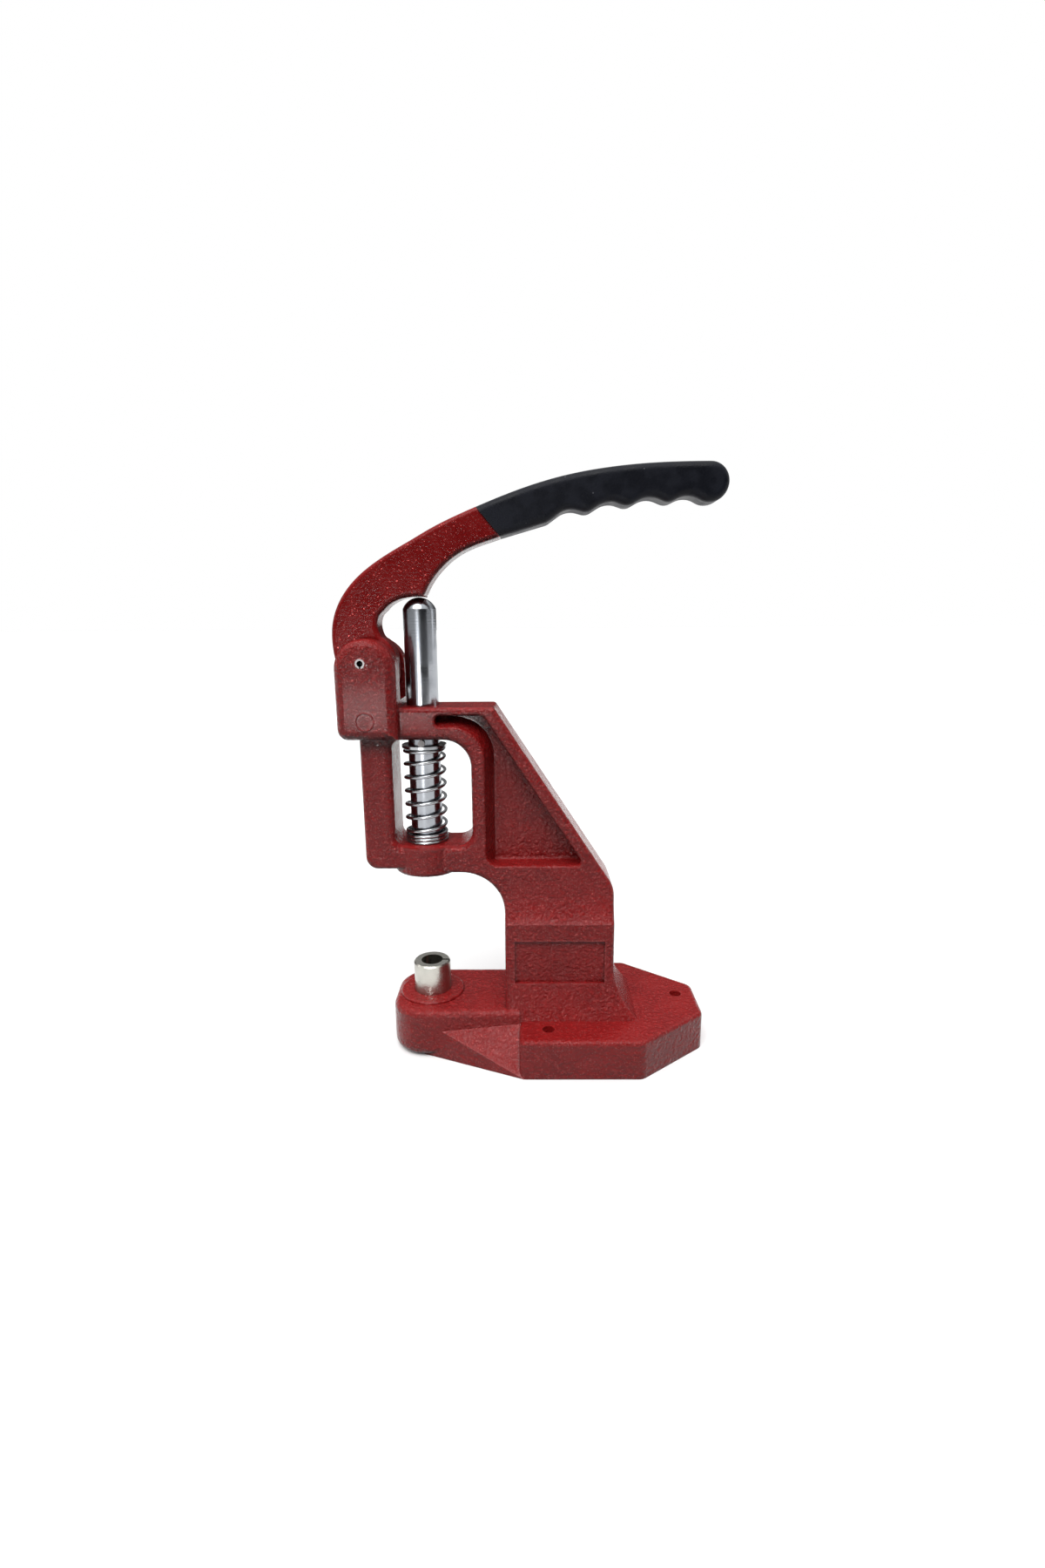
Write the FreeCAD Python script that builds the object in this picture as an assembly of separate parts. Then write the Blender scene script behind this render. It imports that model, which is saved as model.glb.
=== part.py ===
import FreeCAD, Part
import os
from math import acos, atan2, cos, degrees, pi, radians, sin, sqrt

# Hand lever press for setting snaps, rivets and eyelets.
# Frame: millimetres, +Z up, +X from the die post towards the back of the base, +Y across the press.
# The origin is the ram's axis where it meets the bench plane.

V = FreeCAD.Vector

# ---- base ----
base_thick = 18.0
plate_front_x = 41.5
plate_shoulder_x = 95.2
plate_end_x = 126.0
plate_half = 37.5
plate_end_half = 13.0
plate_corner_r = 5.0
nose_end_x = -17.0
nose_half = 21.5
nose_top = 23.0
nose_corner_r = 15.0
nose_edge_r = 3.0
nose_foot_r = 5.0
gusset_tip_x = -8.0
gusset_tip_half = 16.0
gusset_bend_x = 6.4
gusset_bend_z = 13.6
gusset_crest = 17.5
gusset_lip = 0.3
gusset_root_half = 8.0
gusset_overlap = 2.0
pad_r = 15.0
pad_height = 1.2
pad_edge_r = 1.1
base_edge_r = 2.0
plate_inner_r = 3.0
bolt_r = 2.75
bolt_x = 54.4
bolt_half_spacing = 27.2
rear_bolt_x = 116.5
rear_bolt_y = 4.0

# ---- column and arm ----
column_front_x = 35.2
column_back_x = 84.0
column_half = 17.0
column_top = 63.0
ramp_top = 77.0
flare_top = 44.0
flare_back = 11.0
flare_side = 3.6
foot_sink = 3.0
arm_half = 12.5
arm_left_x = -26.0
arm_bottom = 85.6
arm_left_bottom = 87.4
arm_step_x = -11.5
arm_top = 159.0
arm_top_end_x = 31.3
arm_slope = 1.53
throat_r = 19.3
arm_top_corner_r = 2.0
back_bend_r = 13.0
arm_corner_r = 5.5
arm_edge_r = 2.0
window_edge_r = 3.0
pocket_edge_r = 1.2
pocket_root_r = 1.5
panel_x = (39.5, 79.8)
panel_z = (35.0, 55.0)
panel_depth = 1.4

# ---- window for the spring ----
window_right_x = 21.2
window_floor = 97.8
window_ceiling = 145.0
window_low_left_r = 4.0
window_low_right_r = 7.0
window_high_left_r = 4.0
window_high_right_r = 12.0

# ---- pocket in each side of the arm ----
web_half = 2.5
pocket_left_x = 6.5
rim_wall = 6.2
rim_over = 5.8
rim_corner_r = 14.0
rim_draft = 3.5
diagonal_wall = 5.6
pocket_top = 155.7
pocket_floor = 88.9
pocket_end_r = 2.4
pocket_corner_r = 4.0
pocket_low_r = 5.5
pocket_point_r = 2.0

# ---- ears and pivot ----
pivot_x = -22.4
pivot_z = 177.8
ear_left_x = -33.9
ear_gap = 1.5
ear_bottom = 145.9
ear_top = 187.7
ear_half = 19.0
ear_edge_r = 4.0
ear_corner_r = 4.5
mark_x = -21.6
mark_z = 154.0
mark_r = 3.7
mark_wire_r = 0.35
slot_floor = 162.0
slot_gap = 0.5
pin_r = 2.0
pin_wall = 0.75
pin_slit = 0.7
pin_inset = 0.3
running_gap = 0.05

# ---- lever and grip, with x and z out from the pivot ----
lever_half = 7.0
lever_edge_r = 2.0
hub_r = 12.5
hub_side_turn = 30.0
hub_back_turn = -120.0
heel_drop = 8.6
heel_r = 3.0
blade_hollow = ((6.4, 19.2), (5.4, 16.1), (5.5, 13.7), (6.9, 10.3))
blade_heel = (-12.8, -0.8)
blade_back = (-14.1, 9.2)
blade_top = ((-11.5, 22.0), (-1.2, 35.4), (20.5, 49.0))
blade_under = ((39.9, 43.5), (30.9, 35.8))
blade_toe = (25.8, 27.8)
toe_round = (25.3, 27.1)
mouth_top = (47.3, 61.7)
mouth_under = (57.2, 50.1)
heel_run = V(-1, 0, 0.58)
mouth_run = V(1, 0, 0.40)
under_run = V(-1, 0, -0.33)
toe_run = V(-0.45, 0, -1)
cam_lead = -6.0
cam_steps = 5
lever_turn = radians(50.0)
cam_gap = 0.2
grip_half = 7.6
grip_edge_r = 3.0
grip_wall = 2.4
grip_top = ((81.1, 72.9), (112.4, 77.5))
grip_end_x = 141.6
grip_end_z = 70.6
grip_end_r = 7.8
tang_end_x = 132.4
tang_low_x = (109.4, 84.4)
finger_x = 133.4
finger_z = 66.4
finger_droop = 0.0022
finger_depth = 3.8
groove_r = 9.0
bump_r = 5.0
finger_pitch = 16.3
finger_count = 4

# ---- ram, spring and die post ----
ram_r = 7.0
ram_top = 204.3
ram_bottom = 86.0
crown_margin = 0.5
ram_chamfer = 0.8
guide_bottom = 84.3
guide_wall = 8.0
guide_edge_r = 2.0
guide_sink = 0.5
thread_r = 2.5
thread_depth = 26.0
cross_pin_r = 1.5
cross_pin_reach = 2.5
ceiling_gap = 0.3
washer_margin = 0.3
washer_thick = 1.2
washer_gap = 0.1
wire_r = 0.75
coil_gap = 1.0
window_gap = 3.1
coil_pitch = 6.0
closed_turns_low = 3.0
closed_turns_high = 1.0
closed_pitch = 1.02
coil_steps = 12
spring_gap = 0.05
post_r = 8.5
post_top = 38.3
post_bore_r = 5.0
post_spigot_r = 7.0
post_spigot_bottom = 4.0
post_slit = 1.2
post_slit_bottom = 27.0
post_edge = 0.6
post_bore_floor = 8.0

# ---- how far a cutting tool runs past what it cuts, and how near counts as level ----
over = 5.0
near = 0.01

# ---- sizes that follow from the ones above ----
cam_radius = -pivot_x
cam_height = ram_top - pivot_z
cross_pin_z = window_ceiling - ceiling_gap - cross_pin_r
washer_top = cross_pin_z - cross_pin_r
spring_top = washer_top - washer_thick - spring_gap
spring_bottom = window_floor + spring_gap
pad_top = nose_top + pad_height
ram_dome_r = ram_r + crown_margin
guide_r = ram_r + guide_wall
cross_pin_half = ram_r + cross_pin_reach
coil_r = ram_r + coil_gap + wire_r
coil_outer_r = coil_r + wire_r
washer_r = coil_outer_r + washer_margin
window_left_x = -coil_outer_r - window_gap
ear_x = (ear_left_x, -ram_r - ear_gap)


def flat(x, z):
    """A point in the press's middle plane."""
    return V(x, 0, z)


def from_pivot(x, z):
    """A point in the middle plane, as far out and up from the pivot."""
    return V(pivot_x + x, 0, pivot_z + z)


def around_pivot(r, degrees):
    """A point in the middle plane at a radius and angle from the pivot."""
    return from_pivot(r * cos(radians(degrees)), r * sin(radians(degrees)))


mouth_high = from_pivot(*mouth_top)
mouth_low = from_pivot(*mouth_under)


def line(a, b):
    return Part.makeLine(a, b)


def arc(a, b, c):
    return Part.Arc(a, b, c).toShape()


def curve(points, start=None, end=None):
    """A smooth curve through points, with the end directions given if they matter."""
    spline = Part.BSplineCurve()
    if start and end:
        spline.interpolate(Points=points, InitialTangent=start, FinalTangent=end)
    else:
        spline.interpolate(points)
    return spline.toShape()


def slab(edges, half):
    """A plate of the given outline, as far to each side of the middle plane."""
    wire = Part.Wire(Part.__sortEdges__(edges))
    wire.translate(V(0, -half, 0))
    return Part.Face(wire).extrude(V(0, 2 * half, 0))


def rounded(points, radii, closed=True):
    """The outline through corner points, each rounded to its own radius (0 leaves it sharp)."""
    count = len(points)
    cuts = []
    for i in range(count):
        here = points[i]
        r = radii[i]
        if r == 0:
            cuts.append((here, None, here))
            continue
        back = (points[i - 1] - here).normalize()
        on = (points[(i + 1) % count] - here).normalize()
        half_angle = back.getAngle(on) / 2
        reach = r * cos(half_angle) / sin(half_angle)
        middle = (back + on).normalize()
        centre = here + middle * (r / sin(half_angle))
        cuts.append((here + back * reach, centre - middle * r, here + on * reach))
    edges = []
    for i in range(count):
        start, middle, end = cuts[i]
        if middle:
            edges.append(arc(start, middle, end))
        following = cuts[(i + 1) % count][0]
        last = i == count - 1 and not closed
        if not last and (following - end).Length > 1e-6:
            edges.append(line(end, following))
    return edges


def on_side(shape, half):
    """The edges that lie in either side plane, y = -half or y = +half."""
    found = []
    for edge in shape.Edges:
        box = edge.BoundBox
        if box.YLength < 1e-4 and abs(abs(box.YMin) - half) < 1e-4:
            found.append(edge)
    return found


def middle_of(edge):
    return edge.valueAt((edge.FirstParameter + edge.LastParameter) / 2)


def rim_of(shape, half, tool):
    """The edges that a cutting tool left in the side planes."""
    found = []
    for edge in on_side(shape, half):
        if tool.distToShape(Part.Vertex(middle_of(edge)))[0] < 1e-3:
            found.append(edge)
    return found


def save(shape, name):
    shape.exportStep("parts/" + name + ".step")
    print(name, "volume", round(shape.Volume), "solids", len(shape.Solids), "valid", shape.isValid())


# ---- frame casting ----
def flare_end(out):
    """How far the column's foot has spread where its curve ends, a little under the plate's top."""
    drop = flare_top - base_thick
    r = (drop ** 2 + out ** 2) / (2 * out)
    return r, r - sqrt(r ** 2 - (drop + foot_sink) ** 2)


def flare_arc(top, out, plane):
    """The concave foot of the column, from straight down to out beyond the column at the plate."""
    r, reach = flare_end(out)
    fall = flare_top - base_thick + foot_sink
    middle = top + r - sqrt(r ** 2 - (fall / 2) ** 2)
    low = plane(top + reach, flare_top - fall)
    return arc(plane(top, flare_top), plane(middle, flare_top - fall / 2), low)


def arm_outline():
    """Arm, throat and column seen from the side, down to the bench."""
    slope_end_z = arm_top - (column_back_x - arm_top_end_x) * arm_slope
    foot_x = column_back_x + flare_end(flare_back)[1]
    corners = [
        flat(column_front_x, 0),
        flat(column_front_x, arm_bottom),
        flat(guide_r / 2, arm_bottom),
        flat(arm_step_x, arm_left_bottom),
        flat(arm_left_x, arm_left_bottom),
        flat(arm_left_x, arm_top),
        flat(arm_top_end_x, arm_top),
        flat(column_back_x, slope_end_z),
        flat(column_back_x, flare_top),
    ]
    radii = [0, throat_r, throat_r, throat_r, arm_corner_r, 0, arm_top_corner_r, back_bend_r, 0]
    return rounded(corners, radii, closed=False) + [
        flare_arc(column_back_x, flare_back, flat),
        line(flat(foot_x, base_thick - foot_sink), flat(foot_x, 0)),
        line(flat(foot_x, 0), flat(column_front_x, 0)),
    ]


def width_profile():
    """The casting's width at each height, seen from the front and run along X."""
    step = column_half - arm_half
    ramp_r = ((ramp_top - column_top) ** 2 + step ** 2) / (2 * step)
    ramp_mid_z = (ramp_top + column_top) / 2
    ramp_mid_y = arm_half + ramp_r - sqrt(ramp_r ** 2 - (ramp_top - ramp_mid_z) ** 2)
    foot = column_half + flare_end(flare_side)[1]
    edges = [
        line(V(0, -foot, 0), V(0, foot, 0)),
        line(V(0, -arm_half, arm_top), V(0, arm_half, arm_top)),
    ]
    for sign in (1, -1):
        edges += [
            line(V(0, sign * foot, 0), V(0, sign * foot, base_thick - foot_sink)),
            flare_arc(column_half, flare_side, lambda y, z: V(0, sign * y, z)),
            line(V(0, sign * column_half, flare_top), V(0, sign * column_half, column_top)),
            arc(V(0, sign * column_half, column_top), V(0, sign * ramp_mid_y, ramp_mid_z),
                V(0, sign * arm_half, ramp_top)),
            line(V(0, sign * arm_half, ramp_top), V(0, sign * arm_half, arm_top)),
        ]
    wire = Part.Wire(Part.__sortEdges__(edges))
    wire.translate(V(arm_left_x - over, 0, 0))
    return Part.Face(wire).extrude(V(plate_end_x - arm_left_x + 2 * over, 0, 0))


def arm_and_column():
    body = slab(arm_outline(), 2 * column_half).common(width_profile())
    corners = on_side(body, arm_half)
    for edge in body.Edges:
        if edge.BoundBox.ZLength > 1 and abs(middle_of(edge).y) > arm_half + near:
            corners.append(edge)
    body = body.makeFillet(arm_edge_r, corners)
    opening = window()
    body = body.cut(opening)
    body = body.makeFillet(window_edge_r, rim_of(body, arm_half, opening))
    for sign in (1, -1):
        hollow = pocket(sign)
        body = body.cut(hollow)
        body = body.makeFillet(pocket_edge_r, rim_of(body, arm_half, hollow))
        body = body.fuse(hollow.common(rim_block(sign)))
    return body


def window():
    corners = [
        flat(window_left_x, window_floor),
        flat(window_right_x, window_floor),
        flat(window_right_x, window_ceiling),
        flat(window_left_x, window_ceiling),
    ]
    radii = [window_low_left_r, window_low_right_r, window_high_right_r, window_high_left_r]
    return slab(rounded(corners, radii), arm_half + over)


def rim_block(sign):
    """The rim between the window and the pocket, which slopes out from the arm's face to the web."""
    rings = []
    for depth, out in ((web_half, rim_draft), (arm_half - pocket_edge_r, 0)):
        x = window_right_x + rim_wall + out
        z = window_ceiling + rim_over + out
        corners = [
            flat(x, pocket_floor - over),
            flat(x, z),
            flat(pocket_left_x - over, z),
            flat(pocket_left_x - over, pocket_floor - over),
        ]
        ring = Part.Wire(Part.__sortEdges__(rounded(corners, [0, rim_corner_r + out, 0, 0])))
        ring.translate(V(0, sign * depth, 0))
        rings.append(ring)
    return Part.makeLoft(rings, True, True)


def pocket(sign):
    """The hollow between the window's rim, the arm's top, the sloping rib and the lower rib."""
    rim_x = window_right_x + rim_wall
    rim_z = window_ceiling + rim_over
    drop = diagonal_wall * sqrt(1 + arm_slope ** 2)

    def slope_x(z):
        return arm_top_end_x + (arm_top - drop - z) / arm_slope

    corners = [
        flat(pocket_left_x, rim_z),
        flat(rim_x, rim_z),
        flat(rim_x, pocket_floor),
        flat(slope_x(pocket_floor), pocket_floor),
        flat(slope_x(pocket_top), pocket_top),
        flat(pocket_left_x, pocket_top),
    ]
    radii = [pocket_end_r, rim_corner_r, pocket_low_r, pocket_point_r, pocket_corner_r, pocket_end_r]
    wire = Part.Wire(Part.__sortEdges__(rounded(corners, radii)))
    wire.translate(V(0, sign * web_half, 0))
    hollow = Part.Face(wire).extrude(V(0, sign * arm_half, 0))
    return hollow.makeFillet(pocket_root_r, on_side(hollow, web_half))


def ears():
    """Two cheeks for the lever's pivot, round on top, on a block that wraps the arm."""
    middle_x = (ear_x[0] + ear_x[1]) / 2
    r = (ear_x[1] - ear_x[0]) / 2
    dome_z = ear_top - r
    corners = [
        flat(ear_x[1], dome_z),
        flat(ear_x[1], ear_bottom),
        flat(ear_x[0], ear_bottom),
        flat(ear_x[0], dome_z),
    ]
    edges = rounded(corners, [0, 0, ear_corner_r, 0], closed=False)
    edges.append(arc(flat(ear_x[0], dome_z), flat(middle_x, ear_top), flat(ear_x[1], dome_z)))
    block = slab(edges, ear_half)
    block = block.makeFillet(ear_edge_r, on_side(block, ear_half))
    mark = Part.makeTorus(mark_r, mark_wire_r, V(mark_x, -ear_half, mark_z), V(0, 1, 0))
    return block.fuse(mark)


def lever_slot():
    """The slot between the ears, clear of the lever on both sides."""
    half = lever_half + slot_gap
    length = ear_x[1] - ear_x[0] + 2 * over
    return Part.makeBox(length, 2 * half, ear_top - slot_floor + over, V(ear_x[0] - over, -half, slot_floor))


def plate():
    """Flat bench plate: square to the front, chamfered behind, straight down to the bench."""
    corners = [
        V(plate_front_x, -plate_half, 0),
        V(plate_shoulder_x, -plate_half, 0),
        V(plate_end_x, -plate_end_half, 0),
        V(plate_end_x, plate_end_half, 0),
        V(plate_shoulder_x, plate_half, 0),
        V(plate_front_x, plate_half, 0),
    ]
    radii = [plate_inner_r, plate_corner_r, plate_corner_r, plate_corner_r, plate_corner_r, plate_inner_r]
    wire = Part.Wire(Part.__sortEdges__(rounded(corners, radii)))
    solid = Part.Face(wire).extrude(V(0, 0, base_thick))
    top = [e for e in solid.Edges if e.BoundBox.ZMin > base_thick - near]
    return solid.makeFillet(base_edge_r, top)


def nose():
    """The tongue under the die post, from its round tip back to the plate's front."""
    corners = [
        V(nose_end_x, -nose_half, 0),
        V(plate_front_x, -nose_half, 0),
        V(plate_front_x, nose_half, 0),
        V(nose_end_x, nose_half, 0),
    ]
    wire = Part.Wire(Part.__sortEdges__(rounded(corners, [nose_corner_r, 0, 0, nose_corner_r])))
    solid = Part.Face(wire).extrude(V(0, 0, nose_top))
    around = [e for e in solid.Edges if e.BoundBox.ZLength < near and e.BoundBox.XMin < plate_front_x - over]
    solid = solid.makeFillet(nose_edge_r, [e for e in around if e.BoundBox.ZMin > nose_top / 2])
    around = [e for e in solid.Edges if e.BoundBox.ZMax < near and e.BoundBox.XMin < plate_front_x - over]
    solid = solid.makeFillet(nose_foot_r, around)
    pad = Part.makeCylinder(pad_r, pad_top, V(0, 0, 0))
    rim = [e for e in pad.Edges if e.BoundBox.ZMin > pad_top - near]
    return solid.fuse(pad.makeFillet(pad_edge_r, rim))


def gusset(sign):
    """Wedge that widens the tongue's foot to the plate's corner."""
    end_x = plate_front_x + gusset_overlap
    crest_half = nose_half + gusset_lip
    tip = V(gusset_tip_x, sign * gusset_tip_half, 0)
    outer = V(end_x, sign * plate_half, 0)
    bend = V(gusset_bend_x, sign * crest_half, gusset_bend_z)
    high = V(end_x, sign * crest_half, gusset_crest)
    root = V(gusset_tip_x, sign * gusset_root_half, 0)
    root_bend = V(gusset_bend_x, sign * gusset_root_half, gusset_bend_z)
    root_high = V(end_x, sign * gusset_root_half, gusset_crest)
    inner = V(end_x, sign * gusset_root_half, 0)
    rings = [
        [tip, outer, inner, root],
        [tip, outer, bend],
        [outer, high, bend],
        [tip, bend, root_bend, root],
        [bend, high, root_high, root_bend],
        [outer, high, root_high, inner],
        [root, root_bend, root_high, inner],
    ]
    faces = [Part.Face(Part.makePolygon(ring + [ring[0]])) for ring in rings]
    return Part.makeSolid(Part.makeShell(faces))


def guide():
    """The round boss under the arm that the ram runs in."""
    body = Part.makeCylinder(guide_r, window_floor - guide_bottom - guide_sink, V(0, 0, guide_bottom))
    low = [e for e in body.Edges if e.BoundBox.ZMax < guide_bottom + near]
    return body.makeFillet(guide_edge_r, low)


def name_panel():
    """The shallow rectangular recess in the column's side."""
    size = V(panel_x[1] - panel_x[0], over + panel_depth, panel_z[1] - panel_z[0])
    return Part.makeBox(size.x, size.y, size.z, V(panel_x[0], -column_half - over, panel_z[0]))


def frame_casting():
    body = arm_and_column().fuse([ears(), plate(), nose(), gusset(1), gusset(-1), guide()])
    bore_height = arm_top - guide_bottom + 2 * over
    bore = Part.makeCylinder(ram_r + running_gap, bore_height, V(0, 0, guide_bottom - over))
    spigot_hole = Part.makeCylinder(post_spigot_r, pad_top, V(0, 0, post_spigot_bottom))
    pin_start = V(pivot_x, -ear_half - over, pivot_z)
    pin_hole = Part.makeCylinder(pin_r, 2 * (ear_half + over), pin_start, V(0, 1, 0))
    for tool in (lever_slot(), bore, spigot_hole, pin_hole, name_panel()):
        body = body.cut(tool)
    for x, y in ((bolt_x, bolt_half_spacing), (bolt_x, -bolt_half_spacing), (rear_bolt_x, rear_bolt_y)):
        body = body.cut(Part.makeCylinder(bolt_r, base_thick + 2 * over, V(x, y, -over)))
    return body.removeSplitter()


# ---- die post, pivot pin ----
def die_post():
    post = Part.makeCylinder(post_r, post_top - pad_top, V(0, 0, pad_top))
    rim = [e for e in post.Edges if e.BoundBox.ZMin > post_top - near]
    post = post.makeChamfer(post_edge, rim)
    spigot_height = pad_top - post_spigot_bottom
    post = post.fuse(Part.makeCylinder(post_spigot_r, spigot_height, V(0, 0, post_spigot_bottom)))
    post = post.cut(Part.makeCylinder(post_bore_r, post_top, V(0, 0, post_bore_floor)))
    slit = Part.makeBox(post_r + over, post_slit, post_top, V(0, -post_slit / 2, post_slit_bottom))
    return post.cut(slit).removeSplitter()


def pivot_pin():
    """Rolled spring pin, split along its underside."""
    half = ear_half - pin_inset
    start = V(pivot_x, -half, pivot_z)
    pin = Part.makeCylinder(pin_r, 2 * half, start, V(0, 1, 0))
    pin = pin.cut(Part.makeCylinder(pin_r - pin_wall, 2 * half, start, V(0, 1, 0)))
    reach = pin_r + over
    slit = Part.makeBox(pin_slit, 2 * half, reach, V(pivot_x - pin_slit / 2, -half, pivot_z - reach))
    return pin.cut(slit)


# ---- lever ----
def cam_point(angle):
    """Where the ram's crown touches the lever once the lever has turned by angle, on the lever at rest."""
    x = cam_radius
    z = cam_height + cam_gap - cam_radius * angle
    return from_pivot(x * cos(angle) - z * sin(angle), x * sin(angle) + z * cos(angle))


def hub_outline():
    """Round the hub from its front to its back, with the square heel that stops in the slot."""
    heel_turn = -2 * degrees(atan2(heel_drop, hub_r))
    front = around_pivot(hub_r, 0)
    under = around_pivot(hub_r, heel_turn)
    return [
        arc(around_pivot(hub_r, hub_side_turn), around_pivot(hub_r, hub_side_turn / 2), front),
        arc(under, around_pivot(hub_r, (heel_turn + hub_back_turn) / 2), around_pivot(hub_r, hub_back_turn)),
    ] + rounded([front, from_pivot(hub_r, -heel_drop), under], [0, heel_r, 0], closed=False)


def lever_outline():
    """Blade from the hub to the grip's mouth."""
    cam = [cam_point(radians(cam_lead))]
    cam += [cam_point(lever_turn * i / cam_steps) for i in range(cam_steps + 1)]
    cam_end = V(-cos(lever_turn), 0, -sin(lever_turn))
    hub_side = around_pivot(hub_r, hub_side_turn)
    down_the_hub = V(sin(radians(hub_side_turn)), 0, -cos(radians(hub_side_turn)))
    hub_back = around_pivot(hub_r, hub_back_turn)
    back = from_pivot(*blade_back)
    toe = from_pivot(*blade_toe)
    hollow = [from_pivot(*p) for p in blade_hollow]
    top = [from_pivot(*p) for p in blade_top]
    under = [from_pivot(*p) for p in blade_under]
    return hub_outline() + [
        curve(cam),
        curve([cam[-1]] + hollow + [hub_side], cam_end, down_the_hub),
        curve([hub_back, from_pivot(*blade_heel), back], heel_run, V(0, 0, 1)),
        curve([back] + top + [mouth_high], V(0, 0, 1), mouth_run),
        line(mouth_high, mouth_low),
        curve([mouth_low] + under + [toe], under_run, toe_run),
        arc(toe, from_pivot(*toe_round), cam[0]),
    ]


def crest(x):
    """Height of the finger grooves' tops along the grip, out from the pivot."""
    return finger_z - finger_droop * (finger_x - x) ** 2


def grip_outline():
    """The grip seen from the side, with a row of finger grooves underneath."""
    corners = []
    radii = []
    for i in range(finger_count):
        groove_x = finger_x - finger_pitch * i
        bump_x = groove_x - finger_pitch / 2
        corners.append(from_pivot(groove_x, crest(groove_x)))
        corners.append(from_pivot(bump_x, crest(bump_x) - finger_depth))
        radii += [groove_r, bump_r]
    end = from_pivot(grip_end_x, grip_end_z)
    away = corners[0] - end
    turn = atan2(away.z, away.x) - 2 * pi + acos(grip_end_r / away.Length)
    leave = end + flat(cos(turn), sin(turn)) * grip_end_r
    high_end = end + flat(0, grip_end_r)
    top = [from_pivot(*p) for p in grip_top]
    under = rounded([leave] + corners + [mouth_low], [0] + radii + [0], closed=False)
    return [
        line(mouth_low, mouth_high),
        curve([mouth_high] + top + [high_end], mouth_run, V(1, 0, 0)),
        arc(high_end, end + flat(grip_end_r, 0), leave),
    ] + under


def tang_outline():
    """The lever's tang inside the grip, a wall in from the grip's outside."""
    along = (mouth_low - mouth_high).normalize()
    high_start = mouth_high + along * grip_wall
    low_start = mouth_low - along * grip_wall
    r = (grip_end_z + grip_end_r - crest(tang_end_x)) / 2 - grip_wall
    low_end = from_pivot(tang_end_x, crest(tang_end_x) + grip_wall)
    high_end = low_end + flat(0, 2 * r)
    top = [from_pivot(x, z - grip_wall) for x, z in grip_top]
    under = [from_pivot(x, crest(x) + grip_wall) for x in tang_low_x]
    return [
        line(low_start, high_start),
        curve([high_start] + top + [high_end]),
        arc(high_end, low_end + flat(r, r), low_end),
        curve([low_end] + under + [low_start]),
    ]


def mouth_free(shape, half):
    """The side edges of a lever part, all but those at the grip's mouth."""
    middle = Part.Vertex((mouth_high + mouth_low) / 2)
    return [e for e in on_side(shape, half) if e.distToShape(middle)[0] > half + 1]


def lever_arm():
    """Cast lever: blade with the cam under it, and the tang that the grip is moulded on."""
    blade = slab(lever_outline(), lever_half)
    blade = blade.makeFillet(lever_edge_r, mouth_free(blade, lever_half))
    lever = blade.fuse(slab(tang_outline(), grip_half - grip_wall))
    start = V(pivot_x, -lever_half - over, pivot_z)
    return lever.cut(Part.makeCylinder(pin_r + running_gap, 2 * (lever_half + over), start, V(0, 1, 0)))


def handle_grip():
    body = slab(grip_outline(), grip_half)
    body = body.makeFillet(grip_edge_r, mouth_free(body, grip_half))
    return body.cut(slab(tang_outline(), grip_half - grip_wall))


# ---- ram and spring ----
def ram():
    centre_z = ram_top - ram_dome_r
    shoulder_z = centre_z + sqrt(ram_dome_r ** 2 - ram_r ** 2)
    crown = atan2(ram_r, shoulder_z - centre_z) / 2
    crown_side = flat(ram_dome_r * sin(crown), centre_z + ram_dome_r * cos(crown))
    edges = [
        line(flat(0, ram_bottom), flat(ram_r - ram_chamfer, ram_bottom)),
        line(flat(ram_r - ram_chamfer, ram_bottom), flat(ram_r, ram_bottom + ram_chamfer)),
        line(flat(ram_r, ram_bottom + ram_chamfer), flat(ram_r, shoulder_z)),
        arc(flat(ram_r, shoulder_z), crown_side, flat(0, ram_top)),
        line(flat(0, ram_top), flat(0, ram_bottom)),
    ]
    body = Part.Face(Part.Wire(edges)).revolve(V(0, 0, 0), V(0, 0, 1), 360)
    body = body.cut(Part.makeCylinder(thread_r, thread_depth, V(0, 0, ram_bottom)))
    return body.cut(Part.makeCylinder(cross_pin_r, 4 * ram_r, V(0, -2 * ram_r, cross_pin_z), V(0, 1, 0)))


def ram_cross_pin():
    return Part.makeCylinder(cross_pin_r, 2 * cross_pin_half, V(0, -cross_pin_half, cross_pin_z), V(0, 1, 0))


def spring_washer():
    body = Part.makeCylinder(washer_r, washer_thick, V(0, 0, washer_top - washer_thick))
    return body.cut(Part.makeCylinder(ram_r + washer_gap, washer_thick, V(0, 0, washer_top - washer_thick)))


def return_spring():
    """Compression spring with closed ends, swept along a helix whose pitch changes at the closed turns."""
    wire = 2 * wire_r
    length = spring_top - spring_bottom - wire
    closed_step = wire * closed_pitch
    open_length = length - (closed_turns_low + closed_turns_high) * closed_step
    open_turns = round(open_length / coil_pitch)
    count = int((closed_turns_low + open_turns + closed_turns_high) * coil_steps)
    points = []
    z = spring_bottom + wire_r
    for i in range(count + 1):
        turn = i / coil_steps
        angle = 2 * pi * turn + pi
        points.append(V(coil_r * cos(angle), coil_r * sin(angle), z))
        is_open = closed_turns_low <= turn < closed_turns_low + open_turns
        z += (open_length / open_turns if is_open else closed_step) / coil_steps
    path = Part.BSplineCurve()
    path.interpolate(points)
    spine = Part.Wire(path.toShape())
    section = Part.Wire(Part.makeCircle(wire_r, points[0], points[1] - points[0]))
    return spine.makePipeShell([section], True, True)


os.makedirs("parts", exist_ok=True)
save(frame_casting(), "frame_casting")
save(die_post(), "die_post")
save(pivot_pin(), "pivot_pin")
save(lever_arm(), "lever_arm")
save(handle_grip(), "handle_grip")
save(ram(), "ram")
save(ram_cross_pin(), "ram_cross_pin")
save(spring_washer(), "spring_washer")
save(return_spring(), "return_spring")
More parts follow.
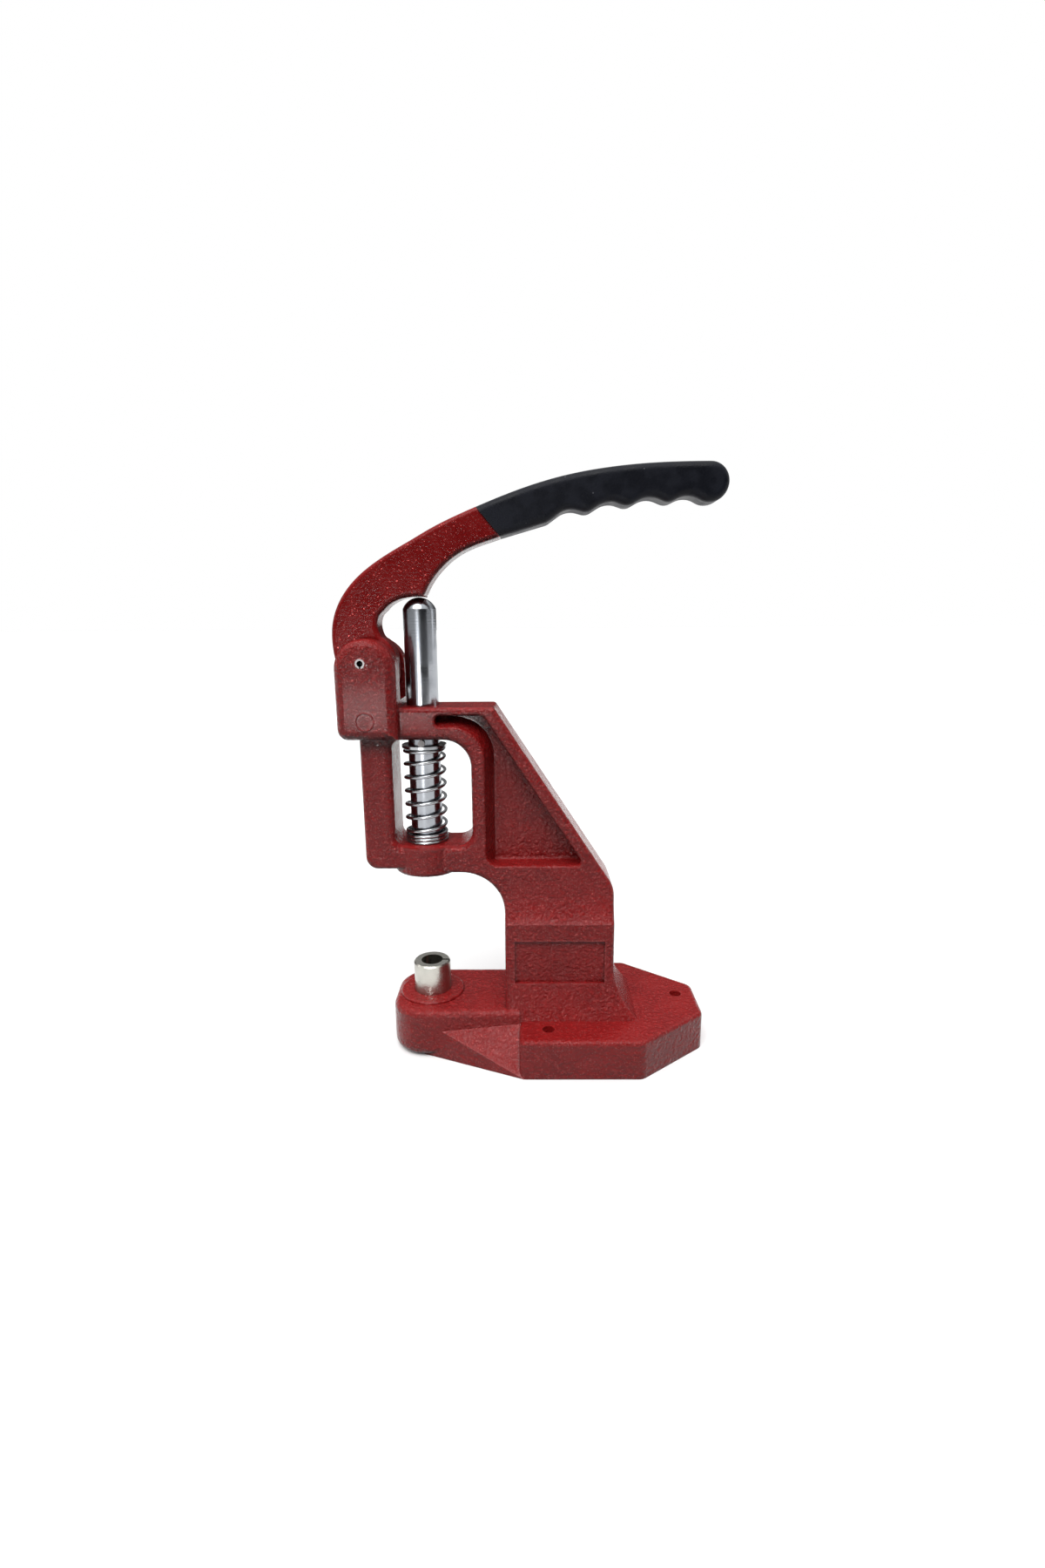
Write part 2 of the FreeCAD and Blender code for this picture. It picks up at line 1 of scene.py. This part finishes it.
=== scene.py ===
# %% [markdown]
# # A hand press for snaps and eyelets
#
# The real tool is one heavy casting in red enamel, with a lever, a steel ram on a spring and a
# little bush for the lower die. Its exact solids are already made, so they come in first as a
# fixed frame. This script gives them their finishes, wraps a real wire spring round the ram,
# and sets the light and the camera.

# %% Load the frame
from math import cos, pi, radians, sin

import bmesh
import bpy
from mathutils import Matrix, Vector


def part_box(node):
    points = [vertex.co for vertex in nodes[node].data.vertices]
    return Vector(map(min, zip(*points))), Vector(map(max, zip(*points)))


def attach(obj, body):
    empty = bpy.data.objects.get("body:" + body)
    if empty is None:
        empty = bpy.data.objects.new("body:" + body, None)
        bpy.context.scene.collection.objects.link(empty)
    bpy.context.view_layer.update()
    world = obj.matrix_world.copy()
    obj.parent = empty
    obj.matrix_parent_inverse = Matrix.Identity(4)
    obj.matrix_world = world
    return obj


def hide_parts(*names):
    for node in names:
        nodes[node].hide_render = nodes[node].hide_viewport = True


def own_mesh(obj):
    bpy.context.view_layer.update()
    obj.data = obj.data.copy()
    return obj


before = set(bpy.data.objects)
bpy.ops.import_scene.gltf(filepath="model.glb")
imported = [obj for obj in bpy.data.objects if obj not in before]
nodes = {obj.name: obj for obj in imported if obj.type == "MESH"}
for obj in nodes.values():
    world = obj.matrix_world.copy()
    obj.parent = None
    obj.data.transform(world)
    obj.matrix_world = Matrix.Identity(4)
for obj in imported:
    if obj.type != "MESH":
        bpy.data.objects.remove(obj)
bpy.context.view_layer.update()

print("solids:", ", ".join(sorted(nodes)))

# %% [markdown]
# ## The camera
#
# A tool this small is best seen as it stands on a bench, from just above the ram and a little
# to the right. The lens is short and close, which is why the plate's far corner falls away so
# quickly. A camera's place is a matrix: its right, its up, the way back from the subject, and
# the point where it stands. Building these from three plain angles keeps every number readable.

# %% Camera from pitch, yaw and roll
pitch = radians(12.97)
yaw = radians(-0.45)
roll = radians(0.34)
stand = (0.04577, -0.3150, 0.1958)
lens_mm = 16.605
sensor_mm = 36.0

ahead = Vector((sin(yaw) * cos(pitch), cos(yaw) * cos(pitch), -sin(pitch)))
level_right = Vector((cos(yaw), -sin(yaw), 0))
level_down = ahead.cross(level_right)
right = level_right * cos(roll) + level_down * sin(roll)
up = right.cross(ahead)

camera = bpy.data.objects.new("bench_camera", bpy.data.cameras.new("bench_camera"))
bpy.context.scene.collection.objects.link(camera)
camera.data.lens = lens_mm
camera.data.sensor_width = sensor_mm
camera.data.clip_start = 0.01
turned = Matrix((right, up, -ahead)).transposed().to_4x4()
camera.matrix_world = Matrix.Translation(stand) @ turned
bpy.context.scene.camera = camera
print("camera stands at", stand, "and looks along", [round(part, 3) for part in ahead])

# %% [markdown]
# ## Node groups, and a short way to write them
#
# A finish is made of effects: the skin of a casting, specks, the turning marks of a lathe.
# Several finishes share each effect, so each one is a node group with named sockets, made once
# and then placed with its own values. Two small helpers keep the wiring short: one makes a
# group with its sockets, the other makes a node, sets its properties and feeds its inputs.

# %% Helpers for nodes
def place_node(tree, kind, inputs=(), **settings):
    """A new node. Each input is (socket name or number, value or the output that feeds it)."""
    node = tree.nodes.new("ShaderNode" + kind)
    for name, value in settings.items():
        setattr(node, name, value)
    for socket, value in inputs:
        if isinstance(value, bpy.types.NodeSocket):
            tree.links.new(value, node.inputs[socket])
        else:
            node.inputs[socket].default_value = value
    return node


def start_group(name, inputs, outputs):
    """A group with named sockets. It returns the tree, its inputs and the node that takes its outputs."""
    tree = bpy.data.node_groups.new(name, "ShaderNodeTree")
    for socket, kind, value in inputs:
        made = tree.interface.new_socket(socket, in_out="INPUT", socket_type="NodeSocket" + kind)
        if value is not None:
            made.default_value = value
    for socket, kind in outputs:
        tree.interface.new_socket(socket, in_out="OUTPUT", socket_type="NodeSocket" + kind)
    return tree, tree.nodes.new("NodeGroupInput").outputs, tree.nodes.new("NodeGroupOutput").inputs


def finish_group(tree, outputs, **feeds):
    """Connects each named output, written with _ for a space."""
    for name, value in feeds.items():
        tree.links.new(value, outputs[name.replace("_", " ")])
    print("group", tree.name, "with", len(tree.nodes), "nodes")
    return tree


def math_node(tree, operation, a, b=0.0, clamp=False):
    """One sum, as an output to feed on."""
    node = place_node(tree, "Math", [(0, a), (1, b)], operation=operation, use_clamp=clamp)
    return node.outputs[0]


def remap(tree, value, low, high, to_low=0.0, to_high=1.0):
    """A value moved from one range to another, eased at both ends."""
    node = place_node(tree, "MapRange", [("Value", value), ("From Min", low), ("From Max", high),
                                         ("To Min", to_low), ("To Max", to_high)],
                      interpolation_type="SMOOTHSTEP")
    return node.outputs["Result"]

# %% [markdown]
# ## The skin of a casting
#
# Iron poured into a sand mould keeps the print of the sand, and a thick enamel drawn over it
# softens each grain into a low round bump, like the peel of an orange. Close by, the surface
# also wanders slowly, because a mould is never quite flat. Three noises at three sizes give
# this: grains, the finer pits between them, and the slow wander. The group gives one height
# for the bump, and a mask of the raised grains, which the enamel paints lighter as a painted highlight.

# %% Group: cast skin
grain_weight, pit_weight = 0.6, 0.4
pit_scale, slow_scale = 0.75, 0.1
wander_height = 2.0
tree, given, gives = start_group(
    "cast skin",
    [("Place", "Vector", None), ("Grain Size", "Float", 0.0014), ("Wander", "Float", 1.0)],
    [("Height", "Float"), ("Grains", "Float"), ("Cloud", "Float")])
per_metre = math_node(tree, "DIVIDE", 1.0, given["Grain Size"])
grain = place_node(tree, "TexNoise", [("Vector", given["Place"]), ("Scale", per_metre), ("Detail", 2.5),
                                      ("Roughness", 0.55), ("Distortion", 0.35)])
pits = place_node(tree, "TexVoronoi", [("Vector", given["Place"]), ("Smoothness", 0.6),
                                       ("Scale", math_node(tree, "MULTIPLY", per_metre, pit_scale))],
                  feature="SMOOTH_F1")
slow = place_node(tree, "TexNoise", [("Vector", given["Place"]), ("Detail", 2.0),
                                     ("Scale", math_node(tree, "MULTIPLY", per_metre, slow_scale))])
raised = remap(tree, grain.outputs["Fac"], 0.30, 0.72)
domes = math_node(tree, "SUBTRACT", 1.0, pits.outputs["Distance"], clamp=True)
peel = math_node(tree, "ADD", math_node(tree, "MULTIPLY", raised, grain_weight),
                 math_node(tree, "MULTIPLY", domes, pit_weight))
waves = math_node(tree, "MULTIPLY", slow.outputs["Fac"], wander_height)
wander = math_node(tree, "MULTIPLY", waves, given["Wander"])
cast_skin = finish_group(tree, gives, Height=math_node(tree, "ADD", peel, wander),
                         Grains=remap(tree, peel, 0.45, 0.85),
                         Cloud=remap(tree, slow.outputs["Fac"], 0.35, 0.65))

# %% [markdown]
# ## Edges that show
#
# Where two faces meet, paint draws thin and smooth, so an edge shines more than the face beside
# it; the lighter colour along an edge is a painted highlight. Blender can find edges without any
# painting: a bevel node asks for the normal of an imagined rounding, and where it turns away
# from the true normal there is an edge. The wider the imagined radius, the wider the band.

# %% Group: edge band
tree, given, gives = start_group("edge band", [("Width", "Float", 0.001)], [("Band", "Float")])
softened = place_node(tree, "Bevel", [("Radius", given["Width"])], samples=6)
surface = place_node(tree, "NewGeometry")
facing = place_node(tree, "VectorMath", [(0, softened.outputs["Normal"]), (1, surface.outputs["Normal"])],
                    operation="DOT_PRODUCT")
edge_band = finish_group(tree, gives, Band=remap(tree, facing.outputs["Value"], 0.995, 0.86))

# %% [markdown]
# ## Painted shade in corners
#
# Inner corners get a painted shade: a darker colour where shade falls and the light reaches
# less. An ambient occlusion node measures how closed in a point is, so one group can give each
# finish that uses it the same painted dark line in its corners.

# %% Group: painted corner shade
# painted shade: a mask that is high where a point is closed in, for darkening corners
tree, given, gives = start_group("painted_corner_shade", [("Reach", "Float", 0.003)], [("Shade", "Float")])
closed_in = place_node(tree, "AmbientOcclusion", [("Distance", given["Reach"])], samples=8)
painted_corner_shade = finish_group(tree, gives, Shade=remap(tree, closed_in.outputs["AO"], 0.88, 0.35))

# %% [markdown]
# ## Specks
#
# Fine specks are everywhere on a used tool: flakes in the enamel, lint on a soft grip, tiny
# pits in plated steel. Cells scattered by a Voronoi texture give each speck its own spot, and
# a second, larger noise thins them out so that they never look like a pattern.

# %% Group: specks
tree, given, gives = start_group(
    "specks",
    [("Place", "Vector", None), ("Spacing", "Float", 0.001), ("Size", "Float", 0.2), ("Share", "Float", 0.5)],
    [("Mask", "Float")])
cells = place_node(tree, "TexVoronoi", [("Vector", given["Place"]),
                                        ("Scale", math_node(tree, "DIVIDE", 1.0, given["Spacing"]))])
chance = place_node(tree, "SeparateColor", [("Color", cells.outputs["Color"])])
dot = math_node(tree, "LESS_THAN", cells.outputs["Distance"], given["Size"])
kept = math_node(tree, "LESS_THAN", chance.outputs["Red"], given["Share"])
specks = finish_group(tree, gives, Mask=math_node(tree, "MULTIPLY", dot, kept))

# %% [markdown]
# ## Marks of the lathe
#
# Ram, die post and pins are turned on a lathe, and the tool leaves fine rings round them.
# A one-dimensional noise along the part's own axis gives rings of uneven depth, which is
# closer to a real cut than an even wave.

# %% Group: turned rings
tree, given, gives = start_group("turned rings", [("Along", "Float", 0.0), ("Spacing", "Float", 0.0004)],
                                 [("Height", "Float")])
rings = place_node(tree, "TexNoise", [("W", math_node(tree, "DIVIDE", given["Along"], given["Spacing"])),
                                      ("Scale", 1.0), ("Detail", 3.0), ("Roughness", 0.6)],
                   noise_dimensions="1D")
turned_rings = finish_group(tree, gives, Height=rings.outputs["Fac"])

# %% [markdown]
# ## A start for every finish
#
# Every finish starts alike: one Principled shader, the object's own coordinates in metres, and
# a bump whose depth is a real depth. One helper makes these, so that each finish below holds
# only what makes it different.

# %% Helper for finishes
def start_finish(name, bump_depth, **sockets):
    """A material with its shader, its coordinates and a bump node of the given depth in metres."""
    material = bpy.data.materials.new(name)
    material.use_nodes = True
    tree = material.node_tree
    shader = tree.nodes["Principled BSDF"]
    for socket, value in sockets.items():
        shader.inputs[socket.replace("_", " ")].default_value = value
    place = tree.nodes.new("ShaderNodeTexCoord").outputs["Object"]
    bump = place_node(tree, "Bump", [("Distance", bump_depth), ("Strength", 1.0)])
    tree.links.new(bump.outputs["Normal"], shader.inputs["Normal"])
    return material, tree, shader, place, bump


def use_group(tree, group, **inputs):
    """A group placed in a finish, with values or outputs for its named inputs."""
    node = tree.nodes.new("ShaderNodeGroup")
    node.node_tree = group
    for name, value in inputs.items():
        socket = node.inputs[name.replace("_", " ")]
        if isinstance(value, bpy.types.NodeSocket):
            tree.links.new(value, socket)
        else:
            socket.default_value = value
    return node.outputs


def blend_colours(tree, share, first, second):
    """From the first colour to the second, as share goes from 0 to 1."""
    node = place_node(tree, "Mix", [(0, share), (6, first), (7, second)], data_type="RGBA")
    return node.outputs[2]

# %% [markdown]
# ## Red enamel
#
# The frame and the lever carry a deep red enamel with a fine metal flake in it. On the frame it
# lies over rough sand-cast iron, on the lever over a smoother casting. Colour comes in steps: a
# dark red where the coat is thick, a paler red in a slow cloud, the same paler red as a painted
# highlight on raised grains and along edges, and the pale flakes on top. Edges also shine more
# under a heavier clear coat, and inner corners get a painted shade. The same recipe serves both
# parts, each with its own grain.

# %% Enamel
thick_red = (0.205, 0.0070, 0.0075, 1)
# paler red: real tone in the slow cloud, and the painted highlight on grains and edges
pale_and_highlight_red = (0.320, 0.0150, 0.0145, 1)
flake_red = (0.550, 0.110, 0.100, 1)
# painted shade: the dark red laid into inner corners
corner_shade_red = (0.045, 0.0020, 0.0025, 1)
edge_band_width = 0.0022
corner_shade_reach = 0.0024
flake_share = 0.35
cloud_share = 0.35
# share of the painted edge highlight in the enamel's colour
edge_highlight_share = 0.5
corner_shade_share = 0.6
coat_on_faces, coat_on_edges = 0.05, 0.4


def red_enamel(name, grain_size, bump_depth, grain_highlight_share, smooth, rough, shine):
    """Enamel over iron whose sand grain has the given size and depth in metres."""
    material, tree, shader, place, bump = start_finish(
        name, bump_depth, IOR=1.5, Specular_IOR_Level=shine, Coat_Roughness=0.10)
    skin = use_group(tree, cast_skin, Place=place, Grain_Size=grain_size, Wander=0.8)
    # painted shade in inner corners, from ambient occlusion
    shade_in_corners = use_group(tree, painted_corner_shade, Reach=corner_shade_reach)["Shade"]
    in_the_open = math_node(tree, "SUBTRACT", 1.0, shade_in_corners, clamp=True)
    band = math_node(tree, "MULTIPLY", use_group(tree, edge_band, Width=edge_band_width)["Band"], in_the_open)
    flakes = use_group(tree, specks, Place=place, Spacing=0.0010, Size=0.34, Share=0.3)["Mask"]
    # painted highlight: the raised grains are given a lighter red, as if they caught the light
    lit = math_node(tree, "MULTIPLY", skin["Grains"], grain_highlight_share)
    cloudy = math_node(tree, "MULTIPLY", skin["Cloud"], cloud_share)
    metal = math_node(tree, "MULTIPLY", flakes, flake_share)
    body = blend_colours(tree, math_node(tree, "MAXIMUM", lit, cloudy), thick_red, pale_and_highlight_red)
    # painted highlight: a lighter red along the edges
    edge_highlighted = blend_colours(tree, math_node(tree, "MULTIPLY", band, edge_highlight_share), body, pale_and_highlight_red)
    speckled = blend_colours(tree, metal, edge_highlighted, flake_red)
    # painted shade: inner corners blended towards the dark red
    shaded = blend_colours(tree, math_node(tree, "MULTIPLY", shade_in_corners, corner_shade_share), speckled, corner_shade_red)
    tree.links.new(shaded, shader.inputs["Base Color"])
    tree.links.new(remap(tree, skin["Cloud"], 0.0, 1.0, smooth, rough), shader.inputs["Roughness"])
    tree.links.new(metal, shader.inputs["Metallic"])
    tree.links.new(remap(tree, band, 0.0, 1.0, coat_on_faces, coat_on_edges), shader.inputs["Coat Weight"])
    tree.links.new(skin["Height"], bump.inputs["Height"])
    return material


frame_enamel = red_enamel("frame_enamel", grain_size=0.0014, bump_depth=0.00052, grain_highlight_share=0.8,
                          smooth=0.10, rough=0.18, shine=0.20)
lever_enamel = red_enamel("lever_enamel", grain_size=0.0010, bump_depth=0.00010, grain_highlight_share=0.5,
                          smooth=0.12, rough=0.20, shine=0.09)
print("enamels:", frame_enamel.name, lever_enamel.name)

# %% [markdown]
# ## The grip
#
# The grip is a soft black sleeve moulded over the lever's end. Such a plastic isn't quite
# black but a very dark blue grey, satin rather than matt, and it holds a little lint.

# %% Soft black plastic
deep_black = (0.0035, 0.0044, 0.0085, 1)
cloud_black = (0.0065, 0.0078, 0.0140, 1)
# painted highlight: a lighter black for the grip's edges, standing in for a reflection
sheen_black = (0.018, 0.019, 0.024, 1)
lint_grey = (0.16, 0.16, 0.18, 1)
edge_sheen_share = 0.4
lint_share = 0.5

soft_black, tree, shader, place, bump = start_finish(
    "soft_black", 0.00005, IOR=1.48, Specular_IOR_Level=0.16)
skin = use_group(tree, cast_skin, Place=place, Grain_Size=0.0007, Wander=0.6)
lint = use_group(tree, specks, Place=place, Spacing=0.0045, Size=0.07, Share=0.6)["Mask"]
edge_sheen = use_group(tree, edge_band, Width=0.0015)["Band"]
rubber = blend_colours(tree, skin["Cloud"], deep_black, cloud_black)
# painted highlight along the grip's edges, from the edge band
rubber = blend_colours(tree, math_node(tree, "MULTIPLY", edge_sheen, edge_sheen_share), rubber, sheen_black)
rubber = blend_colours(tree, math_node(tree, "MULTIPLY", lint, lint_share), rubber, lint_grey)
tree.links.new(rubber, shader.inputs["Base Color"])
tree.links.new(remap(tree, skin["Cloud"], 0.0, 1.0, 0.40, 0.52), shader.inputs["Roughness"])
tree.links.new(skin["Height"], bump.inputs["Height"])
print("grip finish:", soft_black.name)

# %% [markdown]
# ## Bright steels
#
# Ram, spring and washer are zinc plated, which is bright and slightly blue, with a faint
# cloudiness where the plate took unevenly. The die post is left as turned, and the pins are
# darker, as hardened steel is. One recipe covers them: rings along the part's axis for the
# bump, and a cloud that moves both colour and roughness.

# %% Steel
dull_share = 0.8
pit_share = 0.45
edge_glint_share = 0.6
skin_share = 0.5


def steel(name, axis, bright, dull, smooth, rough, ring_spacing, bump_depth):
    """Turned steel whose rings lie round the given axis of the part."""
    material, tree, shader, place, bump = start_finish(name, bump_depth, Metallic=1.0)
    parts = place_node(tree, "SeparateXYZ", [(0, place)])
    rings = use_group(tree, turned_rings, Along=parts.outputs[axis], Spacing=ring_spacing)["Height"]
    skin = use_group(tree, cast_skin, Place=place, Grain_Size=0.0012, Wander=0.3)
    pits = use_group(tree, specks, Place=place, Spacing=0.0011, Size=0.16, Share=0.35)["Mask"]
    band = use_group(tree, edge_band, Width=0.0006)["Band"]
    cloudy = blend_colours(tree, math_node(tree, "MULTIPLY", skin["Cloud"], dull_share), bright, dull)
    pitted = blend_colours(tree, math_node(tree, "MULTIPLY", pits, pit_share), cloudy, dull)
    # painted highlight: edges lighter, towards the bright colour
    edge_highlighted = blend_colours(tree, math_node(tree, "MULTIPLY", band, edge_glint_share), pitted, bright)
    tree.links.new(edge_highlighted, shader.inputs["Base Color"])
    tree.links.new(remap(tree, skin["Cloud"], 0.0, 1.0, smooth, rough), shader.inputs["Roughness"])
    height = math_node(tree, "ADD", rings, math_node(tree, "MULTIPLY", skin["Height"], skin_share))
    tree.links.new(height, bump.inputs["Height"])
    return material


zinc_bar = steel("zinc_bar", "Z", bright=(0.37, 0.385, 0.41, 1), dull=(0.25, 0.265, 0.29, 1),
                 smooth=0.16, rough=0.26, ring_spacing=0.0006, bump_depth=0.00001)
zinc_wire = steel("zinc_wire", "Z", bright=(0.44, 0.45, 0.46, 1), dull=(0.30, 0.31, 0.33, 1),
                  smooth=0.20, rough=0.32, ring_spacing=0.0008, bump_depth=0.00001)
turned_steel = steel("turned_steel", "Z", bright=(0.55, 0.54, 0.49, 1), dull=(0.38, 0.37, 0.34, 1),
                     smooth=0.22, rough=0.34, ring_spacing=0.0005, bump_depth=0.00002)
pin_steel = steel("pin_steel", "Y", bright=(0.20, 0.19, 0.19, 1), dull=(0.10, 0.095, 0.095, 1),
                  smooth=0.36, rough=0.50, ring_spacing=0.0004, bump_depth=0.00002)
print("steels:", zinc_bar.name, zinc_wire.name, turned_steel.name, pin_steel.name)

# %% [markdown]
# ## Finishes on the fixed parts
#
# The solids that are already right keep their shape. Their only change is the material in
# each of their slots.

# %% Dress the solids
finish_of = {
    "frame_casting": frame_enamel,
    "lever_arm": lever_enamel,
    "handle_grip": soft_black,
    "ram": zinc_bar,
    "die_post": turned_steel,
    "spring_washer": zinc_wire,
    "pivot_pin": pin_steel,
    "ram_cross_pin": pin_steel,
}
for name, material in finish_of.items():
    for held in nodes[name].material_slots:
        held.material = material
    print(name, "wears", material.name)

# %% [markdown]
# ## The return spring
#
# The spring is one zinc plated wire, wound round the ram between the window's floor and the
# washer. Its end turns lie closed against each other and are ground flat so that it stands
# square. It could be a curve with a round bevel, but a curve can't be ground, so the wire is
# built as a mesh: a ring of points is carried along the helix and joined to the ring before
# it, and points past the ground faces are pressed back to them. The rise of the open turns is
# found by trying: each round adds what the last one fell short of the washer.

# %% Spring sizes
wire_r = 0.00075
closed_pitch = 1.02
ease = 0.35
low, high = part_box("return_spring")
coil_r = (high.x - low.x) / 2 - wire_r
closed_low, open_turns, closed_high = 3.0, 6.0, 1.0
print("spring from z", round(low.z, 4), "to", round(high.z, 4), "coil radius", round(coil_r, 5))


# %% Rise of the helix
def climb(turn):
    """How fast the wire rises there, as a share of its rise in the open turns."""
    into = min(max((turn - closed_low) / ease + 0.5, 0), 1)
    out = min(max((closed_low + open_turns - turn) / ease + 0.5, 0), 1)
    return (into * into * (3 - 2 * into)) * (out * out * (3 - 2 * out))


steps = 36
settling_rounds = 20
turns = closed_low + open_turns + closed_high
count = int(turns * steps) + 1
closed_rise = 2 * wire_r * closed_pitch
heights = [low.z]
shares = [climb(i / steps) for i in range(count)]
open_rise = 0.0
for _ in range(settling_rounds):
    top = low.z
    for share in shares[1:]:
        top += (closed_rise * (1 - share) + open_rise * share) / steps
    open_rise += (high.z - top) / open_turns
for share in shares[1:]:
    heights.append(heights[-1] + (closed_rise * (1 - share) + open_rise * share) / steps)
print("open pitch in mm:", round(1000 * open_rise, 2), "over", open_turns, "turns")

# %% Wire mesh
sides = 14
mesh = bpy.data.meshes.new("return_spring_wire")
shape = bmesh.new()
rings = []
for i in range(count):
    angle = 2 * pi * i / steps + pi
    outward = Vector((cos(angle), sin(angle), 0))
    middle = outward * coil_r + Vector((0, 0, heights[i]))
    ring = []
    for k in range(sides):
        round_wire = 2 * pi * k / sides
        point = middle + outward * wire_r * cos(round_wire) + Vector((0, 0, wire_r * sin(round_wire)))
        point.z = min(max(point.z, low.z), high.z)
        ring.append(shape.verts.new(point))
    rings.append(ring)
for first, second in zip(rings, rings[1:]):
    for k in range(sides):
        shape.faces.new((first[k], first[(k + 1) % sides], second[(k + 1) % sides], second[k])).smooth = True
shape.faces.new(rings[0])
shape.faces.new(list(reversed(rings[-1])))
bmesh.ops.recalc_face_normals(shape, faces=shape.faces)
shape.to_mesh(mesh)
shape.free()
mesh.materials.append(zinc_wire)

spring = bpy.data.objects.new("return_spring_wire", mesh)
bpy.context.scene.collection.objects.link(spring)
print("spring mesh:", len(mesh.vertices), "points,", len(mesh.polygons), "faces")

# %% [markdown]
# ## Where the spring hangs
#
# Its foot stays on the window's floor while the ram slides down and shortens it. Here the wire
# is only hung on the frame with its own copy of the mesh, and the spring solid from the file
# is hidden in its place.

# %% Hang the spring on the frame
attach(spring, "frame")
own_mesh(spring)
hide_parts("return_spring")

# %% [markdown]
# ## Floor
#
# A plain pale sheet of paper, large enough that its edge is never seen. Its bounce is left out
# of the diffuse light, as if the press stood a long way above it, so that the undersides and
# the upright faces stay as deep as they are in a dim room.

# %% Paper floor
sheet_half = 12
tooth_depth = 0.0002
tooth_size = 0.02


def card_stock(name, first, second):
    """Rough card with a slow cloud between two shades."""
    material, tree, shader, place, _ = start_finish(name, tooth_depth, Roughness=0.9, Specular_IOR_Level=0.1)
    fibre = use_group(tree, cast_skin, Place=place, Grain_Size=tooth_size, Wander=1.0)
    tree.links.new(blend_colours(tree, fibre["Cloud"], first, second), shader.inputs["Base Color"])
    return material


paper = card_stock("paper", (0.90, 0.90, 0.90, 1), (0.92, 0.92, 0.92, 1))
sheet = bmesh.new()
bmesh.ops.create_grid(sheet, x_segments=8, y_segments=8, size=sheet_half)
floor_mesh = bpy.data.meshes.new("floor")
sheet.to_mesh(floor_mesh)
sheet.free()
floor_mesh.materials.append(paper)
floor = bpy.data.objects.new("floor", floor_mesh)
bpy.context.scene.collection.objects.link(floor)
floor.visible_diffuse = False
print("floor is", floor.dimensions.x, "m wide")

# %% [markdown]
# ## Light
#
# Enamel and plate show whatever stands around them, so the light is built in three layers.
# The room is a sky that is bright overhead and dim near the horizon, which keeps the red deep;
# only the view past the floor's edge is plain white. A very wide sun, high in front, is the
# main light, and its width makes the shadows soft.

# %% Room
low_sky, high_sky = 0.05, 1.30
white = (1, 1, 1, 1)
world = bpy.data.worlds.new("studio")
bpy.context.scene.world = world
world.use_nodes = True
tree = world.node_tree
ambient = tree.nodes["Background"]
direction = place_node(tree, "TexCoord").outputs["Generated"]
climbing = place_node(tree, "SeparateXYZ", [(0, direction)])
tree.links.new(remap(tree, climbing.outputs["Z"], 0.25, 0.9, low_sky, high_sky), ambient.inputs["Strength"])
backdrop = place_node(tree, "Background", [("Color", white), ("Strength", 1.0)])
seen = place_node(tree, "LightPath").outputs["Is Camera Ray"]
chosen = place_node(tree, "MixShader", [(0, seen), (1, ambient.outputs[0]), (2, backdrop.outputs[0])])
tree.links.new(chosen.outputs[0], tree.nodes["World Output"].inputs["Surface"])
ambient.inputs["Color"].default_value = white
print("sky strength from", low_sky, "near the horizon to", high_sky, "overhead")

# %% Sky light
sky = bpy.data.lights.new("sky_light", "SUN")
sky.energy = 2.2
sky.angle = radians(45)
lean_to_front, lean_to_side = radians(33), radians(-10)
above = bpy.data.objects.new("sky_light", sky)
above.rotation_euler = (lean_to_front, lean_to_side, 0)
bpy.context.scene.collection.objects.link(above)
print("sky light", sky.energy, "W per square metre, as wide as", round(sky.angle, 2), "radians")

# %% [markdown]
# ## Panels
#
# The last layer is a few soft panels. A tall one at each side draws the bright stripes down
# the ram and the spring. A low one in front lights nothing: it is only there to be mirrored,
# as a sparkle on the rough casting.

# %% Soft panels
def panel(name, where, aim, width, height, power, tint=(1, 1, 1)):
    """A soft panel of light at a point, turned to face another."""
    light = bpy.data.lights.new(name, "AREA")
    light.shape = "RECTANGLE"
    light.size = width
    light.size_y = height
    light.energy = power
    light.color = tint
    made = bpy.data.objects.new(name, light)
    made.location = where
    made.rotation_euler = (Vector(aim) - Vector(where)).to_track_quat("-Z", "Y").to_euler()
    made.visible_camera = False
    bpy.context.scene.collection.objects.link(made)
    print(name, "at", [round(part, 2) for part in made.location], power, "W")
    return made


middle = (0.04, 0.0, 0.12)
warm, cool = (1.0, 0.98, 0.96), (0.97, 0.985, 1.0)
arm_height = (0.0, 0.0, 0.15)
panel("left_panel", (-1.1, 0.05, 0.45), middle, width=0.35, height=0.7, power=1.8, tint=warm)
panel("right_panel", (1.1, 0.35, 0.5), middle, width=0.35, height=0.7, power=1.2, tint=cool)
front_panel = panel("front_panel", (-0.18, -1.05, 0.035), arm_height, width=0.30, height=0.07, power=2.3)
front_panel.visible_diffuse = False

# %% [markdown]
# ## A black card
#
# Bright metal needs something dark to show against. A black card just behind the camera, to
# its right, gives the ram its dark middle. The card is held off the paper, so that the
# casting's front faces still mirror the pale paper below it.

# %% Black card
card_black = card_stock("card_black", (0.010, 0.010, 0.012, 1), (0.016, 0.016, 0.018, 1))
card_mesh = bpy.data.meshes.new("black_card")
card_y, card_left, card_right, card_low, card_top = -0.37, 0.0, 0.60, 0.10, 0.30
corners = [(card_left, card_y, card_low), (card_right, card_y, card_low),
           (card_right, card_y, card_top), (card_left, card_y, card_top)]
card_mesh.from_pydata(corners, [], [(0, 1, 2, 3)])
card_mesh.materials.append(card_black)
card = bpy.data.objects.new("black_card", card_mesh)
card.visible_camera = False
card.visible_shadow = False
bpy.context.scene.collection.objects.link(card)
print("card in mm:", [round(1000 * side) for side in card.dimensions])

# %% [markdown]
# ## Close
#
# The plain colour transform keeps the paper white and the red as mixed.

# %% Colour transform
bpy.context.scene.view_settings.view_transform = "Standard"
